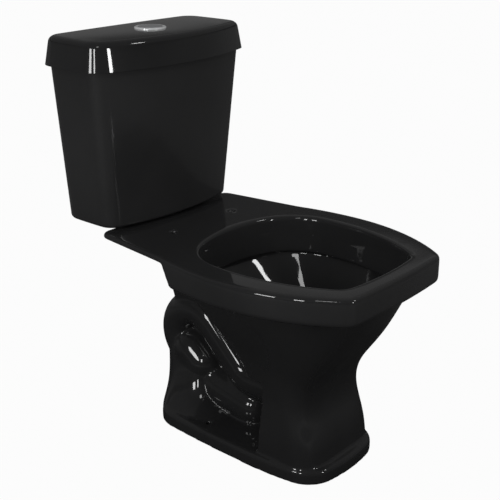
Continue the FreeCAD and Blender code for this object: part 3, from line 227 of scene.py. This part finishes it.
def glazed_copy(node, name, body, slot):
    """Copy of a casting whose sharp inner creases are filled as its glaze fills them."""
    source = frame["nodes"][node]
    mesh = source.data.copy()
    mesh.name = name
    piece = bpy.data.objects.new(name, mesh)
    bpy.context.scene.collection.objects.link(piece)
    piece.matrix_world = source.matrix_world.copy()
    remesh = piece.modifiers.new("grid", "REMESH")
    remesh.mode = "VOXEL"
    remesh.voxel_size = VOXEL
    remesh.use_smooth_shade = True
    soften = piece.modifiers.new("glaze", "SMOOTH")
    soften.factor = 0.5
    soften.iterations = GLAZE_STEPS
    thin = piece.modifiers.new("thin", "DECIMATE")
    thin.ratio = GLAZE_KEPT
    graph = bpy.context.evaluated_depsgraph_get()
    done = bpy.data.meshes.new_from_object(piece.evaluated_get(graph))
    piece.modifiers.clear()
    piece.data = done
    done.name = name
    done.materials.clear()
    done.materials.append(MATERIALS[slot])
    done.shade_smooth()
    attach(piece, body)
    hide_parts(node)
    return piece


# ---------------------------------------------------------------- rounder upright corners
def meeting(first, after, radius):
    """Centre of the arc that joins two side circles from within, counter-clockwise."""
    (ax, ay, ar), (bx, by, br) = first, after
    near, far = ar - radius, br - radius
    dx, dy = bx - ax, by - ay
    apart = math.hypot(dx, dy)
    along = (near * near - far * far + apart * apart) / (2 * apart)
    across = math.sqrt(near * near - along * along)
    return (ax + (along * dx - across * dy) / apart, ay + (along * dy + across * dx) / apart)


def side_circles(share):
    """Front, +X side and back circle of the tank's outline, from its floor to its top."""
    half = TANK_HALF[0] + (TANK_HALF[1] - TANK_HALF[0]) * share
    front = TANK_FRONT[0] + (TANK_FRONT[1] - TANK_FRONT[0]) * share
    back = TANK_BACK[0] + (TANK_BACK[1] - TANK_BACK[0]) * share
    middle = (front + back) / 2
    return middle, [(0.0, front + FRONT_R, FRONT_R), (half - SIDE_R, middle, SIDE_R),
                    (0.0, back - BACK_R, BACK_R)]


def turned(point, circle, angle):
    """Point turned about a circle's centre."""
    dx, dy = point[0] - circle[0], point[1] - circle[1]
    return (circle[0] + dx * math.cos(angle) - dy * math.sin(angle),
            circle[1] + dx * math.sin(angle) + dy * math.cos(angle))


def bearing(centre, point):
    """Angle at which a point lies from a centre."""
    return math.atan2(point[1] - centre[1], point[0] - centre[0])


def rounder(x, y, share):
    """Where a point near an upright corner goes when the corner's radius grows."""
    middle, circles = side_circles(share)
    first, after = circles[:2] if y < middle else circles[1:]
    point = (abs(x), y)
    old = meeting(first, after, CORNER_R)
    new = meeting(first, after, ROUNDER_R)
    start, end = bearing(first, old), bearing(after, old)
    new_start, new_end = bearing(first, new), bearing(after, new)
    before, past = bearing(first, point) - start, bearing(after, point) - end
    if before < 0 and past < 0:
        depth = math.dist(point, first[:2]) - first[2]
        fade = max(0.0, 1 + before * first[2] / CORNER_FADE)
        place = turned(point, first, (new_start - start) * fade)
    elif before > 0 and past > 0:
        depth = math.dist(point, after[:2]) - after[2]
        fade = max(0.0, 1 - past * after[2] / CORNER_FADE)
        place = turned(point, after, (new_end - end) * fade)
    elif before >= 0 and past <= 0:
        depth = math.dist(point, old) - CORNER_R
        angle = new_start + (bearing(old, point) - start) / (end - start) * (new_end - new_start)
        place = (new[0] + (ROUNDER_R + depth) * math.cos(angle),
                 new[1] + (ROUNDER_R + depth) * math.sin(angle))
    else:
        return x, y
    still, whole = CORNER_DEPTH
    weight = min(1.0, max(0.0, (depth + still) / (still - whole)))
    return (math.copysign(point[0] + weight * (place[0] - point[0]), x),
            y + weight * (place[1] - y))


def rounder_copy(node, name, body, glaze, share_of):
    """Copy of a casting with the rounder upright corners that its glaze shows."""
    source = frame["nodes"][node]
    mesh = source.data.copy()
    mesh.name = name
    form = bmesh.new()
    form.from_mesh(mesh)
    bmesh.ops.remove_doubles(form, verts=form.verts, dist=0.000002)
    for vertex in form.verts:
        x, y = rounder(vertex.co.x, vertex.co.y, share_of(vertex.co.z))
        vertex.co = (x, y, vertex.co.z)
    form.to_mesh(mesh)
    form.free()
    if "custom_normal" in mesh.attributes:
        mesh.attributes.remove(mesh.attributes["custom_normal"])
    mesh.shade_smooth()
    mesh.set_sharp_from_angle(angle=math.radians(CREASE))
    mesh.materials.clear()
    mesh.materials.append(glaze)
    piece = bpy.data.objects.new(name, mesh)
    bpy.context.scene.collection.objects.link(piece)
    piece.matrix_world = source.matrix_world.copy()
    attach(piece, body)
    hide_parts(node)
    return piece


# ---------------------------------------------------------------- the springs under the button
def springy_copy(node, name):
    """Copy of a spring in satin steel, carried by the lid, in place of the CAD node."""
    source = frame["nodes"][node]
    piece = bpy.data.objects.new(name, source.data.copy())
    piece.data.name = name
    bpy.context.scene.collection.objects.link(piece)
    piece.matrix_world = source.matrix_world.copy()
    piece.data.materials.clear()
    piece.data.materials.append(MATERIALS["stainless_steel"])
    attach(piece, "lid")
    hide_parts(node)
    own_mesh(piece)
    return piece


# ---------------------------------------------------------------- stage, light and camera
def floor_material():
    """Pale paper floor: almost pure white to the camera, dim in the glaze, with painted shade
    near the part.
    """
    material, shader = new_material("studio_floor")
    nodes, links = material.node_tree.nodes, material.node_tree.links
    grain = noise(material, 40.0, 3.0)
    links.new(mixed(material, between(material, grain, 0, 1), (0.19, 0.19, 0.19),
                    (0.21, 0.21, 0.21)), shader.inputs["Base Color"])
    links.new(between(material, grain, 0.6, 0.7), shader.inputs["Roughness"])
    paths = nodes.new("ShaderNodeLightPath")
    white = nodes.new("ShaderNodeEmission")
    white.inputs["Strength"].default_value = 1.0
    black = nodes.new("ShaderNodeEmission")
    black.inputs["Strength"].default_value = 0.0
    dimmed = nodes.new("ShaderNodeMixShader")
    seen = nodes.new("ShaderNodeMixShader")
    place = nodes.new("ShaderNodeTexCoord")
    reach = nodes.new("ShaderNodeVectorMath")
    reach.operation = "LENGTH"
    links.new(place.outputs["Object"], reach.inputs[0])
    # painted shade: in reflections the floor darkens towards the part, standing in for its
    # contact shadow
    dark = between(material, reach.outputs["Value"], FLOOR_NEAR, FLOOR_FAR, *FLOOR_REACH)
    glossy = nodes.new("ShaderNodeMath")
    glossy.operation = "MULTIPLY"
    links.new(paths.outputs["Is Glossy Ray"], glossy.inputs[0])
    links.new(dark, glossy.inputs[1])
    links.new(glossy.outputs["Value"], dimmed.inputs["Fac"])
    links.new(shader.outputs["BSDF"], dimmed.inputs[1])
    links.new(black.outputs["Emission"], dimmed.inputs[2])
    paper = nodes.new("ShaderNodeMixShader")
    paper.inputs["Fac"].default_value = FLOOR_WHITE
    links.new(shader.outputs["BSDF"], paper.inputs[1])
    links.new(white.outputs["Emission"], paper.inputs[2])
    links.new(paths.outputs["Is Camera Ray"], seen.inputs["Fac"])
    links.new(dimmed.outputs["Shader"], seen.inputs[1])
    links.new(paper.outputs["Shader"], seen.inputs[2])
    output = next(node for node in nodes if node.type == "OUTPUT_MATERIAL")
    links.new(seen.outputs["Shader"], output.inputs["Surface"])
    return material


def floor():
    """Floor plane under the part, wide enough that no edge of it shows."""
    bpy.ops.mesh.primitive_plane_add(size=FLOOR_SIZE)
    plane = bpy.context.object
    plane.name = "floor"
    plane.data.materials.append(floor_material())


def softbox(name, place, target, width, height, power):
    """Rectangular soft lamp that faces a target."""
    light = bpy.data.lights.new(name, "AREA")
    light.shape = "RECTANGLE"
    light.size = width
    light.size_y = height
    light.energy = power
    lamp = bpy.data.objects.new(name, light)
    bpy.context.scene.collection.objects.link(lamp)
    lamp.location = place
    lamp.rotation_euler = (Vector(target) - Vector(place)).to_track_quat("-Z", "Y").to_euler()
    return lamp


def studio_world():
    """White surround for the camera, a soft one for the light, a dim one in the glaze."""
    world = bpy.data.worlds.new("studio")
    bpy.context.scene.world = world
    world.use_nodes = True
    nodes, links = world.node_tree.nodes, world.node_tree.links
    nodes.clear()
    output = nodes.new("ShaderNodeOutputWorld")
    paths = nodes.new("ShaderNodeLightPath")

    def background(strength):
        """White of a given strength."""
        node = nodes.new("ShaderNodeBackground")
        node.inputs["Color"].default_value = (1, 1, 1, 1)
        node.inputs["Strength"].default_value = strength
        return node.outputs["Background"]

    def choose(factor, otherwise, chosen):
        """One shader or the other, by a factor."""
        node = nodes.new("ShaderNodeMixShader")
        links.new(factor, node.inputs["Fac"])
        links.new(otherwise, node.inputs[1])
        links.new(chosen, node.inputs[2])
        return node.outputs["Shader"]

    def ramp(value, start, end, low, high):
        """Number that runs from low to high as a value runs from start to end."""
        node = nodes.new("ShaderNodeMapRange")
        node.inputs["From Min"].default_value = start
        node.inputs["From Max"].default_value = end
        node.inputs["To Min"].default_value = low
        node.inputs["To Max"].default_value = high
        links.new(value, node.inputs["Value"])
        return node.outputs["Result"]

    place = nodes.new("ShaderNodeTexCoord")
    height = nodes.new("ShaderNodeSeparateXYZ")
    links.new(place.outputs["Generated"], height.inputs["Vector"])
    behind = nodes.new("ShaderNodeVectorMath")
    behind.operation = "DOT_PRODUCT"
    behind.inputs[1].default_value = BRIGHT_SIDE
    links.new(place.outputs["Generated"], behind.inputs[0])
    both = nodes.new("ShaderNodeMath")
    both.operation = "MULTIPLY"
    tones = nodes.new("ShaderNodeValToRGB")
    tones.color_ramp.interpolation = "EASE"
    for position, tone in SEEN[1:-1]:
        tones.color_ramp.elements.new(position).color = (tone, tone, tone, 1.0)
    for element, (position, tone) in ((tones.color_ramp.elements[0], SEEN[0]),
                                      (tones.color_ramp.elements[-1], SEEN[-1])):
        element.position, element.color = position, (tone, tone, tone, 1.0)
    links.new(height.outputs["Z"], tones.inputs["Fac"])
    links.new(tones.outputs["Color"], both.inputs[0])
    links.new(ramp(behind.outputs["Value"], -0.4, 0.5, DIM_SIDE, 1.0), both.inputs[1])
    glow = nodes.new("ShaderNodeBackground")
    links.new(both.outputs["Value"], glow.inputs["Strength"])
    soft = choose(paths.outputs["Is Glossy Ray"], background(SOFT_LIGHT),
                  glow.outputs["Background"])
    surround = choose(paths.outputs["Is Camera Ray"], soft, background(1.0))
    links.new(surround, output.inputs["Surface"])


def camera():
    """Camera at the photograph's viewing angle."""
    data = bpy.data.cameras.new("camera")
    data.sensor_width = 36.0
    data.lens = 73.22
    data.shift_x = 0.0040
    data.shift_y = -0.0037
    eye = bpy.data.objects.new("camera", data)
    bpy.context.scene.collection.objects.link(eye)
    ahead = Vector((0.7149, 0.6077, -0.3458)).normalized()
    right = Vector((0.6483, -0.7614, 0.0022))
    up = right.cross(ahead).normalized()
    right = ahead.cross(up)
    eye.matrix_world = Matrix((
        (right.x, up.x, -ahead.x, -1.2817),
        (right.y, up.y, -ahead.y, -1.1187),
        (right.z, up.z, -ahead.z, 0.9729),
        (0, 0, 0, 1)))
    bpy.context.scene.camera = eye


finish_nodes()
glazed_copy("bowl", "bowl_glaze", "toilet_body", "glazed_black_china")
# painted light: the tank's copy of the black glaze has a lighter base colour than the bowl's, so
# the tank reads brighter as if more light fell on it
rounder_copy("tank", "tank_glaze", "toilet_body",
             glazed_china("black_tank_glaze_painted_lighter", (0.0235, 0.0235, 0.0240),
                          (0.0275, 0.0275, 0.0280), 0.18),
             lambda z: (z - TANK_LOW) / TANK_TALL)
rounder_copy("tank_lid", "lid_glaze", "lid", MATERIALS["black_lid_china"],
             lambda z: LID_SHARE)
springy_copy("full_button_spring", "full_spring_coil")
springy_copy("half_button_spring", "half_spring_coil")
camera()
floor()
studio_world()
softbox("left", (-2.30, 0.02, 1.05), (-0.15, 0.10, 0.65), 0.42, 0.50, 9)
softbox("left_front", (-2.20, -0.75, 1.05), (-0.15, 0.10, 0.65), 0.24, 0.50, 5.5)
softbox("front", (0.00, -2.20, 1.05), (-0.10, 0.10, 0.65), 0.13, 0.50, 5)
softbox("high_left", (-1.44, -0.97, 2.14), (0.00, -0.10, 0.30), 0.38, 0.38, 3)
softbox("high_right", (0.95, -1.68, 2.36), (0.00, -0.10, 0.28), 0.24, 0.24, 3)
bpy.context.scene.view_settings.view_transform = "Standard"
